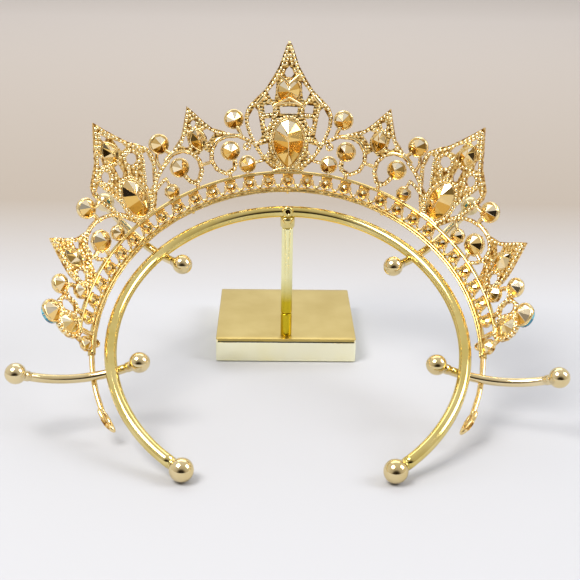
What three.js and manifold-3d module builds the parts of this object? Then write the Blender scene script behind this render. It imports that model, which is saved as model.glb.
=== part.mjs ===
// A gold tiara set with aqua stones, seated on its gilt display stand.
// Millimetres, +Z up. The origin is the middle of the base plate's underside, and +Y is the front of
// the tiara, so someone behind it, looking along +Y, sees the backs of the stones.
import * as THREE from "three";
import { mergeVertices } from "three/addons/utils/BufferGeometryUtils.js";
import Module from "manifold-3d";

const wasm = await Module();
wasm.setup();
const rad = THREE.MathUtils.degToRad;

// Driving dimensions of the stand.
const GAP = 0.3;
const BASE = { side: 60, thick: 10.8, corner: 1, bevel: 0.4 };
const POST = { y: -24.6, radius: 2.4, foot: 9.8, sides: 12 };
const SOCKET = { radius: 3, drop: 1.8, height: 4.7 };
const SCREW = { radius: 2.3, shoulder: 1.85, rise: 0.9, dome: 1.3, lift: 0.8, sides: 12 };
const BALL = { around: 10, rows: 5 };
const HOOP = { radius: 66.5, tilt: rad(30.4), tube: 2.35, top: 66, ball: 4.4, sides: 10, steps: 25 };
const ARM = {
  rod: 1.7,
  ball: 3.95,
  bend: 41,
  inner: 10.4,
  outer: 34,
  low: 8.65,
  weld: 0.4,
  sides: 6,
  steps: 5,
};
const ARM_PLACES = [rad(48.4), rad(100.6)];

// Driving dimensions of the tiara. Its band is a circle, and the ornament flares out from it as a cone.
// The pattern is drawn flat, seen from behind: x along the band away from the middle, h up the slope,
// b out of the face towards the viewer behind.
const CROWN = { radius: 74.6, flare: rad(37.3), lean: rad(5.25), up: 3.9, under: -5.7 };
const LOWER_RAIL = { h: 0, wide: 1.7, deep: 2.2, reach: rad(95) };
const UPPER_RAIL = { h: 7.3, wide: 1, deep: 1.4, reach: rad(90) };
const LEG = { h: 0, wide: 1.4, deep: 1.5, lap: rad(1), end: rad(114.5) };
const EYELET = { long: 3.4, wide: 1.6, wire: 1.2, deep: 1.2 };
const RAIL_STEP = 9;
const PLATE = 1.3;
const STRAND_STEP = 4.2;
const OVAL_STEPS = 4;
const WELD = 1e-4;
const STONE = { girdle: 0.25, table: 0.58, crown: 0.14, pavilion: 0.4 };
const CUP = {
  count: 14,
  pitch: rad(6),
  h: 3.85,
  radius: 2.6,
  table: 1.5,
  front: 1.2,
  wall: 0.5,
  back: 1.7,
  sides: 8,
};
const SWAG = { wide: 0.9, deep: 0.8, high: 4.5, low: 2 };

// How each cut's outline bows: 1 is an ellipse's end, 2 a marquise's point.
const CUTS = {
  round: { upper: 1, lower: 1, sides: 8 },
  oval: { upper: 1, lower: 1, sides: 12 },
  marquise: { upper: 2, lower: 2, sides: 12 },
  pear: { upper: 1, lower: 1.8, sides: 14 },
};

// The motifs, from the middle of the tiara to its end. Each is drawn once, for the right-hand side, and
// repeated in mirror image. A motif's plate has an edge that runs from its tip down its outer and inner
// sides, and gaps that are pierced through it: ovals and straight-sided windows. A strand is a bar that
// follows a curve through a few points, a ring is an open oval, and a stone may have a rim of its own.
const MOTIFS = [
  {
    name: "centre",
    angle: 0,
    plate: {
      outer: [
        [0, 61.2], [1.3, 59.4], [2.8, 55], [4.7, 50], [7.9, 45], [11.4, 40.2], [15.6, 37.2],
        [18, 33.4], [18.2, 29.6], [16.8, 24.8], [14.6, 19.4], [10.8, 13.2], [5.2, 7.8],
      ],
      windows: [
        [[5.2, 45], [8.7, 40.9], [7.2, 38], [5.9, 37.6], [5.5, 40]],
        [[-0.4, 34.9], [3.8, 34.7], [3.4, 31.9], [-0.4, 31.9]],
        [[-0.2, 51.3], [1.2, 50], [1.9, 48.2], [1, 46.8], [-0.2, 46.8]],
        [[6.7, 35.8], [10.3, 35.6], [9.8, 32.2], [6.5, 32.4]],
        [[6.9, 30.2], [9.8, 30.3], [9.9, 27.6], [8.7, 25.8]],
        [
          [14.2, 35.2], [16.6, 31.4], [16.3, 26], [14.6, 21.4], [12.6, 20.6], [11, 23], [12, 29.4],
          [12.7, 33.6],
        ],
        [[8.4, 20], [12.2, 19.2], [10.8, 15.8], [8.2, 13.6]],
      ],
      ovals: [],
    },
    strands: [
      { wide: 1.4, at: [[14.6, 20.4], [17.6, 22.4], [20.8, 24.3], [25, 25.1]] },
      { wide: 1.3, at: [[21.6, 28.4], [20.4, 26.6], [19.4, 23.8]] },
      { wide: 1.2, at: [[10.2, 12.9], [13.8, 12.3]] },
    ],
    rings: [{ x: 17.2, h: 19.4, rx: 1.2, rh: 1.2, wide: 1.1 }],
    stones: [
      { name: "centre_pear", cut: "pear", x: 0, h: 21, wide: 12, up: 8.2, down: 11.4 },
      { name: "centre_oval", cut: "oval", x: 0, h: 41.6, wide: 8.8, up: 4.2, down: 4.8 },
      { name: "stalk_round", cut: "round", x: 22.7, h: 31.4, wide: 6.4, rim: 0.6 },
      { name: "band_round", cut: "round", x: 17, h: 12, wide: 5.6, rim: 0.6 },
    ],
  },
  {
    name: "small",
    angle: rad(24.3),
    plate: {
      outer: [[0.3, 41], [2.6, 36.4], [5.1, 31.6], [7.6, 28.2], [12.6, 25.4], [5.6, 24], [1.2, 20.6]],
      inner: [[0.3, 41], [-2.7, 36.4], [-5.7, 31.8], [-9, 28.4], [-15, 25.6], [-7, 23.6], [-3.6, 20]],
      notch: [-1.4, 22.2],
      windows: [
        [[-7.8, 27.4], [-5, 30.1], [-3.2, 29.7], [-4.1, 26.8], [-3.8, 24.2]],
        [[3.7, 29.6], [4.6, 29.9], [7, 27], [5.2, 25], [3.8, 25.2]],
      ],
      ovals: [{ x: -0.3, h: 33.4, rx: 1.3, rh: 1.6 }],
    },
    strands: [
      {
        wide: 1.7,
        at: [
          [-16, 24.6], [-10, 25], [-5.8, 22.4], [-3.6, 17.4], [-5.2, 11.8], [-9.6, 9.6], [-13, 12.4],
          [-13, 15],
        ],
      },
      {
        wide: 1.7,
        at: [
          [15.4, 23.4], [10.4, 25], [5, 23.6], [1.4, 18.4], [2, 12.6], [5.2, 9.6], [8.2, 12.4],
          [9.2, 14.8],
        ],
      },
      { wide: 1.2, at: [[-3.4, 16.2], [1.4, 16.2]] },
      { wide: 1.4, at: [[-9.4, 9.8], [-9.4, 7]] },
      { wide: 1.4, at: [[4.9, 9.8], [4.9, 7]] },
      { wide: 1.3, at: [[14.4, 27.9], [13, 26.4], [12, 24.6]] },
      { wide: 1.2, at: [[18, 28], [18.9, 25.4], [18.2, 21.6]] },
      { wide: 1.1, at: [[16.5, 13.6], [17.4, 17.2]] },
    ],
    rings: [],
    stones: [
      { name: "small_marquise", cut: "marquise", x: -0.2, h: 26.9, wide: 6.2, up: 4.1, down: 4.1 },
      { name: "scroll_round_inner", cut: "round", x: -12.2, h: 18.8, wide: 6.4, rim: 0.6 },
      { name: "scroll_round_outer", cut: "round", x: 10.3, h: 18.5, wide: 6.4, rim: 0.6 },
      { name: "valley_round", cut: "round", x: 16, h: 30.9, wide: 6.6, rim: 0.6 },
      { name: "side_round_inner", cut: "round", x: 16.2, h: 10.8, wide: 4.4, rim: 0.8 },
    ],
  },
  {
    name: "tall",
    angle: rad(46.2),
    plate: {
      outer: [
        [-0.2, 51.6], [2.7, 46.8], [5.7, 42], [9, 36.8], [13.2, 33.8], [15.5, 30.6], [15.1, 26],
        [12.6, 19.4], [9, 13.2], [5, 7.6],
      ],
      inner: [
        [-0.2, 51.6], [-3, 46.6], [-6.2, 41.6], [-9.8, 36.6], [-13.6, 33.4], [-15.5, 29.8], [-14.6, 25],
        [-12, 18.6], [-8.4, 13], [-4.6, 7.6],
      ],
      windows: [
        [[-6.4, 39], [-3.6, 41.8], [-4.1, 38], [-4.6, 35.9], [-7.2, 36]],
        [[4.8, 40.4], [7.2, 36.2], [4.9, 35.8], [4.4, 38]],
        [[-0.9, 32.4], [1.6, 32.4], [1.9, 27.6], [0.4, 26.6], [-0.8, 28]],
        [[-13.6, 30.8], [-11.2, 30.6], [-9.4, 25.6], [-6.7, 20], [-6.6, 15.8], [-9.4, 17.2], [-13.2, 24.6]],
        [[11.4, 31], [13.8, 29.6], [13.2, 24.6], [10.6, 17.8], [7, 14], [7, 19.2], [9.4, 25.4]],
      ],
      ovals: [
        { x: -0.8, h: 44.7, rx: 1.4, rh: 1.8 },
        { x: -6.6, h: 31.2, rx: 2.5, rh: 2.5 },
        { x: 6.9, h: 31.2, rx: 2.1, rh: 2.3 },
      ],
    },
    strands: [
      { wide: 1.4, at: [[-8.4, 15.2], [-12, 18.9], [-16.4, 21.6], [-20.2, 23.4]] },
      { wide: 1.4, at: [[8, 13.4], [11.4, 16.8], [15.6, 19.4], [20.4, 20.7]] },
      { wide: 1.1, at: [[-14.9, 16.8], [-11.8, 15.9], [-8.4, 14.4]] },
      { wide: 1.1, at: [[13.4, 12.4], [11.6, 13.8], [9.6, 15]] },
      { wide: 1.3, at: [[20.2, 24.7], [19.4, 22.8], [19.2, 20.4]] },
      { wide: 1.2, at: [[18.6, 25.4], [16, 25.2], [14.4, 25.8]] },
    ],
    rings: [],
    stones: [
      { name: "tall_marquise", cut: "marquise", x: 0.2, h: 38.1, wide: 6.6, up: 4.3, down: 4.3 },
      { name: "tall_oval", cut: "oval", x: 0.4, h: 16.8, wide: 9.4, up: 7.8, down: 7.6 },
      { name: "side_round_outer", cut: "round", x: 14.8, h: 10.8, wide: 4.4, rim: 0.8 },
      { name: "outer_valley_round", cut: "round", x: 21.1, h: 27.6, wide: 6.6, rim: 0.6 },
    ],
  },
  {
    name: "low",
    angle: rad(72.1),
    plate: {
      outer: [[0.2, 33], [2.2, 28.6], [4, 24.6], [5.8, 20.4], [7, 16], [6.4, 11.4], [4.4, 7]],
      inner: [
        [0.2, 33], [-2.6, 29.6], [-5.6, 25.8], [-9, 22.6], [-13.6, 21.3], [-8.6, 19.6], [-5.6, 14],
        [-3.6, 11.6], [-1.2, 7],
      ],
      windows: [
        [[-7.8, 21.6], [-5, 23.9], [-4, 21.8], [-5, 19.6]],
        [[-4.2, 16.4], [-2.2, 16.2], [-3.2, 14.4]],
      ],
      ovals: [{ x: 3, h: 13.4, rx: 2.1, rh: 2.5 }],
    },
    strands: [
      { wide: 1.5, at: [[-19.6, 21], [-13, 20.9], [-8.2, 18.6], [-6.4, 14.6], [-7.6, 10.2], [-10.4, 7]] },
      { wide: 1.4, at: [[10.8, 18.2], [9.4, 16.4], [8.6, 14.4]] },
      { wide: 1.2, at: [[6.4, 12.6], [5.2, 14.4]] },
      { wide: 1.4, at: [[-10, 12.6], [-6.8, 12.2]] },
      { wide: 1.4, at: [[-13, 10], [-12.2, 7]] },
    ],
    rings: [],
    stones: [
      { name: "low_marquise", cut: "marquise", x: -0.4, h: 20.4, wide: 5.8, up: 4.4, down: 4.4 },
      { name: "low_scroll_round", cut: "round", x: -14.2, h: 14, wide: 7.2, rim: 0.8 },
      { name: "low_round", cut: "round", x: 8.4, h: 11.2, wide: 4.6, rim: 0.9 },
      { name: "low_top_round", cut: "round", x: 12.4, h: 20.9, wide: 5.8, rim: 0.6 },
    ],
  },
  {
    name: "end",
    angle: rad(95),
    strands: [
      { wide: 1.6, at: [[-15.6, 10.4], [-15.4, 7]] },
      { wide: 1.6, at: [[-8.6, 6], [-8.4, 0]] },
      { wide: 1.5, at: [[-4.6, 8], [-3.7, 5.2]] },
      { wide: 1.4, at: [[-18.4, 15], [-20.6, 17.4], [-19.8, 19.2]] },
    ],
    rings: [
      { x: -15.3, h: 14.7, rx: 3.3, rh: 4.4, wide: 1.6 },
      { x: -5.8, h: -1.9, rx: 1.2, rh: 1.2, wide: 0.9 },
    ],
    stones: [
      { name: "end_oval", cut: "oval", x: -8.3, h: 12.4, wide: 6.4, up: 4.4, down: 4.2, rim: 2 },
      { name: "end_blue", cut: "round", x: -10, h: 21.4, wide: 7.4, rim: 0.7 },
      { name: "end_round", cut: "round", x: -3.7, h: 3, wide: 4.2, rim: 0.8 },
    ],
  },
];

// The two halves: 1 is the right-hand one as seen from behind, -1 the left-hand one.
const SIDES = [1, -1];
const SIDE_NAMES = { 1: "right", "-1": "left" };

// The radius of the crown at a height up its slope.
const ringAt = (h) => CROWN.radius + h * Math.sin(CROWN.flare);

// The place of a point of the crown, in the tiara's own frame, from its angle round the band.
function onCrown(turn, h, b) {
  const out = ringAt(h) - b * Math.cos(CROWN.flare);
  const up = h * Math.cos(CROWN.flare) + b * Math.sin(CROWN.flare);
  return new THREE.Vector3(Math.sin(turn) * out, Math.cos(turn) * out, up);
}

function moveVertices(geometry, move) {
  const place = geometry.attributes.position;
  for (let i = 0; i < place.count; i += 1) {
    const { x, y, z } = move(place.getX(i), place.getY(i), place.getZ(i));
    place.setXYZ(i, x, y, z);
  }
  return geometry;
}

// Lays a flat piece, drawn about a point x, h of its motif, on one sheet that holds the whole pattern.
// The sheet's own x is the angle round the band times the band's radius.
function onSheet(geometry, angle, x = 0, h = 0) {
  const middle = angle + x / ringAt(h);
  const lay = (u, v, b) => new THREE.Vector3((middle + u / ringAt(h + v)) * CROWN.radius, h + v, b);
  return moveVertices(geometry, lay);
}

// Rolls the sheet up into the crown.
function rolledUp(geometry) {
  return moveVertices(geometry, (x, h, b) => onCrown(x / CROWN.radius, h, b));
}

// Sets a rigid piece on the crown, its own x, y and z along the band, up the slope and backwards.
function seatOnCrown(geometry, angle, x, h) {
  const turn = angle + x / ringAt(h);
  const along = new THREE.Vector3(Math.cos(turn), -Math.sin(turn), 0);
  const out = new THREE.Vector3(Math.sin(turn), Math.cos(turn), 0);
  const slope = out.multiplyScalar(Math.sin(CROWN.flare)).setZ(Math.cos(CROWN.flare));
  const back = new THREE.Vector3().crossVectors(along, slope);
  const seat = new THREE.Matrix4().makeBasis(along, slope, back);
  return geometry.applyMatrix4(seat.setPosition(onCrown(turn, h, 0)));
}

// A closed geometry as a solid that can be joined and cut.
function solid(geometry) {
  geometry.deleteAttribute("normal");
  geometry.deleteAttribute("uv");
  const merged = mergeVertices(geometry, WELD);
  const vertProperties = Float32Array.from(merged.attributes.position.array);
  const triVerts = Uint32Array.from(merged.index.array);
  return new wasm.Manifold(new wasm.Mesh({ numProp: 3, vertProperties, triVerts }));
}

const joined = (solids) => solids.reduce((body, piece) => body.add(piece));

function geometryOf(body) {
  const mesh = body.getMesh();
  const geometry = new THREE.BufferGeometry();
  geometry.setAttribute("position", new THREE.BufferAttribute(mesh.vertProperties, 3));
  geometry.setIndex(new THREE.BufferAttribute(mesh.triVerts, 1));
  geometry.computeVertexNormals();
  return geometry;
}

function rectangle(wide, high) {
  const shape = new THREE.Shape();
  shape.moveTo(-wide / 2, -high / 2);
  shape.lineTo(wide / 2, -high / 2);
  shape.lineTo(wide / 2, high / 2);
  shape.lineTo(-wide / 2, high / 2);
  return shape;
}

function polygon(radius, sides) {
  const corner = (_, i) => {
    const turn = (2 * Math.PI * i) / sides;
    return new THREE.Vector2(radius * Math.cos(turn), radius * Math.sin(turn));
  };
  return new THREE.Shape(Array.from({ length: sides }, corner));
}

const vectors = (points, side = 1) => points.map(([x, h]) => new THREE.Vector2(side * x, h));

// A flat shape raised to the plate's thickness, half of it on each side of the sheet.
function raised(shape, deep = PLATE, curveSegments = 1) {
  const slab = new THREE.ExtrudeGeometry(shape, { depth: deep, curveSegments, bevelEnabled: false });
  return slab.translate(0, 0, -deep / 2);
}

// A bar of rectangular section along a smooth curve through points of the pattern.
function strand(points, wide, deep = PLATE, step = STRAND_STEP) {
  const path = new THREE.CatmullRomCurve3(points.map(([x, h]) => new THREE.Vector3(x, h, 0)));
  const steps = Math.max(1, Math.round(path.getLength() / step));
  return new THREE.ExtrudeGeometry(rectangle(deep, wide), { steps, extrudePath: path });
}

// An open oval ring about its own middle.
function ring({ rx, rh, wide }, deep = PLATE) {
  const shape = new THREE.Shape();
  shape.absellipse(0, 0, rx + wide / 2, rh + wide / 2, 0, 2 * Math.PI);
  const hole = new THREE.Path();
  hole.absellipse(0, 0, rx - wide / 2, rh - wide / 2, 0, 2 * Math.PI);
  shape.holes.push(hole);
  return raised(shape, deep, OVAL_STEPS);
}

// The outline of a motif's plate: down one edge from the tip, across its foot and up the other edge.
// The middle motif has one edge only, which is mirrored.
function plateShape({ outer, inner, notch }, side) {
  const down = vectors(outer, side);
  const up = inner ? vectors(inner, side) : vectors(outer, -side);
  up.reverse();
  const shape = new THREE.Shape();
  shape.moveTo(down[0].x, down[0].y);
  shape.splineThru(down.slice(1));
  if (notch) shape.lineTo(side * notch[0], notch[1]);
  shape.lineTo(up[0].x, up[0].y);
  shape.splineThru(up.slice(1));
  return shape;
}

// The shapes of the gaps that are pierced through a motif's plate.
function gapShapes({ windows, ovals, inner }, side) {
  const hands = inner ? [side] : SIDES;
  const oval = ({ x, h, rx, rh }, hand) => {
    const shape = new THREE.Shape();
    shape.absellipse(hand * x, h, rx, rh, 0, 2 * Math.PI);
    return shape;
  };
  const pierced = (hand) => [
    ...windows.map((corners) => new THREE.Shape(vectors(corners, hand))),
    ...ovals.map((row) => oval(row, hand)),
  ];
  return hands.flatMap(pierced);
}

// A motif's plate, pierced, as a solid on the sheet.
function piercedPlate(plate, side, angle) {
  const body = solid(onSheet(raised(plateShape(plate, side)), angle));
  const gaps = gapShapes(plate, side).map((shape) => raised(shape, PLATE * 2, OVAL_STEPS));
  return gaps.reduce((rest, gap) => rest.subtract(solid(onSheet(gap, angle))), body);
}

// A point of a stone's outline, grown outwards by a margin. The width shrinks with a power of the
// cosine, so a power above 1 draws an end out to a point.
function outlinePoint(stone, turn, grow) {
  const { upper, lower } = CUTS[stone.cut];
  const rises = Math.sin(turn) >= 0;
  const bow = Math.abs(Math.cos(turn)) ** (rises ? upper : lower);
  const x = Math.sign(Math.cos(turn)) * (stone.wide / 2 + grow) * bow;
  const reach = (rises ? stone.up : stone.down) + grow;
  return new THREE.Vector2(x, reach * Math.sin(turn));
}

function outline(stone, grow) {
  const { sides } = CUTS[stone.cut];
  const first = sides % 4 === 0 ? 0 : 0.5;
  const point = (_, i) => outlinePoint(stone, (2 * Math.PI * (i + first)) / sides, grow);
  return Array.from({ length: sides }, point);
}

// A cut stone: a table and crown facets in front, and a pointed pavilion at the back. It is turned as a
// unit lathe, and its rings are then stretched to the outline.
function cutStone(stone) {
  const { sides } = CUTS[stone.cut];
  const across = Math.min(stone.wide, stone.up + stone.down);
  const profile = [
    new THREE.Vector2(0, -STONE.girdle - STONE.crown * across),
    new THREE.Vector2(STONE.table, -STONE.girdle - STONE.crown * across),
    new THREE.Vector2(1, -STONE.girdle),
    new THREE.Vector2(1, STONE.girdle),
    new THREE.Vector2(0, STONE.girdle + STONE.pavilion * across),
  ];
  const lathe = new THREE.LatheGeometry(profile, sides, sides % 4 === 0 ? 0 : Math.PI / sides);
  return moveVertices(lathe, (x, y, z) => {
    const edge = outlinePoint(stone, Math.atan2(x, z), 0).multiplyScalar(Math.hypot(x, z));
    return new THREE.Vector3(edge.x, edge.y, y);
  });
}

// A stone's row for one side of the tiara, with its missing columns filled in.
function mirrored(stone, side) {
  const radius = stone.wide / 2;
  return { up: radius, down: radius, ...stone, x: side * stone.x };
}

const isSingle = (motif, stone) => motif.angle === 0 && stone.x === 0;

// Every flat piece of the pattern and every seat to be cut in it, as solids on the one sheet.
function flatPattern() {
  const pieces = [];
  const seats = [];
  for (const side of SIDES) {
    for (const motif of MOTIFS) {
      const angle = side * motif.angle;
      if (motif.plate && (motif.angle > 0 || side > 0)) {
        pieces.push(piercedPlate(motif.plate, side, angle));
      }
      for (const { wide, at } of motif.strands) {
        const bar = strand(at.map(([x, h]) => [side * x, h]), wide);
        pieces.push(solid(onSheet(bar, angle)));
      }
      for (const row of motif.rings) {
        pieces.push(solid(onSheet(ring(row), angle, side * row.x, row.h)));
      }
      for (const row of motif.stones) {
        const stone = mirrored(row, side);
        if (side < 0 && isSingle(motif, stone)) continue;
        const seat = raised(new THREE.Shape(outline(stone, GAP)), PLATE * 2);
        seats.push(solid(onSheet(seat, angle, stone.x, stone.h)));
        if (!stone.rim) continue;
        const rim = raised(new THREE.Shape(outline(stone, GAP + stone.rim)));
        pieces.push(solid(onSheet(rim, angle, stone.x, stone.h)));
      }
    }
  }
  return { pieces, seats };
}

// The frame, soldered into one: the pierced pattern rolled up, the two rails, the legs and their eyelets.
function tiaraFrame() {
  const { pieces, seats } = flatPattern();
  const pattern = seats.reduce((body, seat) => body.subtract(seat), joined(pieces));
  const solids = [solid(rolledUp(geometryOf(pattern)))];
  const along = (from, to, { h, wide, deep }) => {
    const bar = strand([[from * CROWN.radius, h], [to * CROWN.radius, h]], wide, deep, RAIL_STEP);
    return solid(rolledUp(bar));
  };
  solids.push(along(-LOWER_RAIL.reach, LOWER_RAIL.reach, LOWER_RAIL));
  solids.push(along(-UPPER_RAIL.reach, UPPER_RAIL.reach, UPPER_RAIL));
  for (const side of SIDES) {
    const inside = side * (LOWER_RAIL.reach - LEG.lap);
    solids.push(along(inside, side * LEG.end, LEG));
    const eyelet = ring({ rx: EYELET.long, rh: EYELET.wide, wide: EYELET.wire }, EYELET.deep);
    const middle = side * (CROWN.radius * LEG.end + EYELET.long);
    solids.push(solid(rolledUp(eyelet.translate(middle, 0, 0))));
  }
  return geometryOf(joined(solids));
}

// The row of small stones between the rails: each stone and its cup is one turned piece, and swags of
// wire link them into a band.
function galleryBand() {
  const gap = CUP.pitch * ringAt(CUP.h);
  const profile = [
    new THREE.Vector2(0, -CUP.front),
    new THREE.Vector2(CUP.table, -CUP.front),
    new THREE.Vector2(CUP.radius, -CUP.wall),
    new THREE.Vector2(CUP.radius, CUP.wall),
    new THREE.Vector2(0, CUP.back),
  ];
  const hang = [[CUP.table, SWAG.high], [gap / 2, SWAG.low], [gap - CUP.table, SWAG.high]];
  const solids = [];
  for (let i = -CUP.count; i <= CUP.count; i += 1) {
    const cup = new THREE.LatheGeometry(profile, CUP.sides, Math.PI / CUP.sides);
    moveVertices(cup, (x, y, z) => new THREE.Vector3(z, x, y));
    solids.push(solid(seatOnCrown(cup, i * CUP.pitch, 0, CUP.h)));
    if (i === CUP.count) continue;
    const swag = strand(hang, SWAG.wide, SWAG.deep, gap / 2);
    solids.push(solid(rolledUp(onSheet(swag, i * CUP.pitch))));
  }
  return geometryOf(joined(solids));
}

// A circular arc in space: start angle to end angle about a centre, in the plane of two directions.
class Arc extends THREE.Curve {
  constructor(centre, first, second, from, to) {
    super();
    Object.assign(this, { centre, first, second, from, to });
  }

  getPoint(t, target = new THREE.Vector3()) {
    const turn = this.from + (this.to - this.from) * t;
    target.copy(this.centre).addScaledVector(this.first, Math.cos(turn));
    return target.addScaledVector(this.second, Math.sin(turn));
  }
}

function rod(path, radius, sides, steps) {
  return solid(new THREE.ExtrudeGeometry(polygon(radius, sides), { steps, extrudePath: path }));
}

// A ball whose poles stand on the world's vertical, in the tilted frame of the hoop.
function ball(radius, centre) {
  const sphere = new THREE.SphereGeometry(radius, BALL.around, BALL.rows);
  sphere.rotateX(Math.PI / 2 - HOOP.tilt);
  return solid(sphere.translate(centre.x, centre.y, centre.z));
}

// One curved arm, welded under the hoop at an angle from its top, with a ball at each end.
function armSolids(place) {
  const radial = new THREE.Vector3(Math.sin(place), Math.cos(place), 0);
  const dip = ARM.bend - Math.sqrt(ARM.bend ** 2 - ARM.low ** 2);
  const lowest = ARM.weld - HOOP.tube - ARM.rod - dip;
  const centre = radial.clone().multiplyScalar(HOOP.radius + ARM.low).setZ(lowest + ARM.bend);
  const first = radial.clone().multiplyScalar(ARM.bend);
  const second = new THREE.Vector3(0, 0, -ARM.bend);
  const angleAt = (reach) => Math.acos((reach - ARM.low) / ARM.bend);
  const arm = new Arc(centre, first, second, angleAt(-ARM.inner), angleAt(ARM.outer));
  const balls = [0, 1].map((end) => ball(ARM.ball, arm.getPoint(end)));
  return [rod(arm, ARM.rod, ARM.sides, ARM.steps), ...balls];
}

// The bent tube in its own plane, with ball ends that rest on the table, the arms welded under it and
// the socket that sits on the post. Its local y runs up the slope.
function standHoop() {
  const drop = (HOOP.top - HOOP.ball) / (HOOP.radius * Math.sin(HOOP.tilt));
  const end = Math.acos(1 - drop);
  const upSlope = new THREE.Vector3(0, HOOP.radius, 0);
  const across = new THREE.Vector3(HOOP.radius, 0, 0);
  const bend = new Arc(new THREE.Vector3(), upSlope, across, -end, end);
  const solids = [rod(bend, HOOP.tube, HOOP.sides, HOOP.steps)];
  solids.push(ball(HOOP.ball, bend.getPoint(0)), ball(HOOP.ball, bend.getPoint(1)));
  for (const side of SIDES) {
    for (const place of ARM_PLACES) solids.push(...armSolids(side * place));
  }
  const socket = new THREE.CylinderGeometry(SOCKET.radius, SOCKET.radius, SOCKET.height, POST.sides);
  socket.rotateX(Math.PI / 2).translate(0, 0, -SOCKET.drop - SOCKET.height / 2);
  socket.rotateX(-HOOP.tilt).translate(0, HOOP.radius, 0);
  solids.push(solid(socket));
  return geometryOf(joined(solids));
}

// The square plate with rounded corners and a small bevel round its upper and lower edges.
function standBase() {
  const half = BASE.side / 2 - BASE.bevel;
  const inside = half - BASE.corner;
  const shape = new THREE.Shape();
  shape.moveTo(-inside, -half);
  shape.lineTo(inside, -half);
  shape.absarc(inside, -inside, BASE.corner, -Math.PI / 2, 0);
  shape.lineTo(half, inside);
  shape.absarc(inside, inside, BASE.corner, 0, Math.PI / 2);
  shape.lineTo(-inside, half);
  shape.absarc(-inside, inside, BASE.corner, Math.PI / 2, Math.PI);
  shape.lineTo(-half, -inside);
  shape.absarc(-inside, -inside, BASE.corner, Math.PI, Math.PI * 1.5);
  const plate = new THREE.ExtrudeGeometry(shape, {
    depth: BASE.thick - 2 * BASE.bevel,
    bevelEnabled: true,
    bevelThickness: BASE.bevel,
    bevelSize: BASE.bevel,
    bevelSegments: 1,
    curveSegments: 2,
  });
  return plate.translate(0, 0, BASE.bevel);
}

function postLength(bottom, top) {
  const length = new THREE.CylinderGeometry(POST.radius, POST.radius, top - bottom, POST.sides);
  return length.rotateX(Math.PI / 2).translate(0, POST.y, (bottom + top) / 2);
}

// The round-headed screw on the near side of the hoop, over the post.
function screwHead() {
  const profile = [
    new THREE.Vector2(0, 0),
    new THREE.Vector2(SCREW.radius, 0),
    new THREE.Vector2(SCREW.shoulder, SCREW.rise),
    new THREE.Vector2(0, SCREW.dome),
  ];
  const head = new THREE.LatheGeometry(profile, SCREW.sides);
  head.rotateX(Math.PI).translate(0, -HOOP.tube - GAP, SCREW.lift);
  return head.rotateX(-HOOP.tilt).translate(0, HOOP.radius, 0);
}

function named(name, geometry, { color, roughness, metalness }) {
  const mesh = new THREE.Mesh(geometry, new THREE.MeshStandardMaterial({ color, roughness, metalness }));
  mesh.name = name;
  return mesh;
}

const TIARA_GOLD = { color: 0xe6b45c, roughness: 0.18, metalness: 1 };
const STAND_GOLD = { color: 0xd9c465, roughness: 0.22, metalness: 1 };
const AQUA = { color: 0x3fa7b8, roughness: 0.08, metalness: 0 };

const tiara = new THREE.Group();
tiara.position.set(0, CROWN.up, CROWN.under);
tiara.rotation.x = CROWN.lean;
tiara.add(named("tiara_frame", tiaraFrame(), TIARA_GOLD));
tiara.add(named("gallery_band", galleryBand(), TIARA_GOLD));
for (const motif of MOTIFS) {
  for (const row of motif.stones) {
    const single = isSingle(motif, row);
    for (const side of single ? [1] : SIDES) {
      const stone = mirrored(row, side);
      const name = single ? row.name : `${row.name}_${SIDE_NAMES[side]}`;
      tiara.add(named(name, seatOnCrown(cutStone(stone), side * motif.angle, stone.x, stone.h), AQUA));
    }
  }
}

const hoop = new THREE.Group();
hoop.rotation.x = HOOP.tilt;
hoop.position.set(
  0,
  POST.y - HOOP.radius * Math.cos(HOOP.tilt),
  HOOP.top - HOOP.radius * Math.sin(HOOP.tilt),
);
hoop.add(named("stand_hoop", standHoop(), STAND_GOLD));
hoop.add(named("stand_screw", screwHead(), STAND_GOLD));
hoop.add(tiara);

const footTop = BASE.thick + GAP + POST.foot;
const postTop = HOOP.top - SOCKET.drop - SOCKET.height - GAP;
const display = new THREE.Group();
display.add(named("stand_base", standBase(), STAND_GOLD));
display.add(named("stand_post_foot", postLength(BASE.thick + GAP, footTop), STAND_GOLD));
display.add(named("stand_post", postLength(footTop + GAP, postTop), STAND_GOLD));
display.add(hoop);

export default display;
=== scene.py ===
"""The looks of a gold tiara on its display stand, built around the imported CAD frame.

Lengths are in millimetres until a mesh is made. The tiara's pattern is drawn flat, as seen from behind:
x along the band away from the middle, h up the slope and b backwards, out of the face.
"""
import math

import bpy
from mathutils import Matrix
import numpy as np


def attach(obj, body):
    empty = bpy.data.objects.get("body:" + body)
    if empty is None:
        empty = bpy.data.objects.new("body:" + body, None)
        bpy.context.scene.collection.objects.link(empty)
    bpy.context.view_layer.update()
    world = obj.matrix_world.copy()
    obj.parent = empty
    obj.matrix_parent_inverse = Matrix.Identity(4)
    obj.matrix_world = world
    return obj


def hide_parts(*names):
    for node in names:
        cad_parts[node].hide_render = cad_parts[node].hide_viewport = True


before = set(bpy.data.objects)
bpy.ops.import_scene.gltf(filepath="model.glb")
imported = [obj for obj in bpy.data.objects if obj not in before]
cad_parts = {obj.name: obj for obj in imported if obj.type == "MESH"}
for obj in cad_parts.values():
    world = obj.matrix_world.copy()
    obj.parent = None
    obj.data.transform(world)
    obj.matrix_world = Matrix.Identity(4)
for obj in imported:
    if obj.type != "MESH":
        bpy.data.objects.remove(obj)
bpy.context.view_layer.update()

MM = 0.001
TURN = 2 * math.pi

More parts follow.
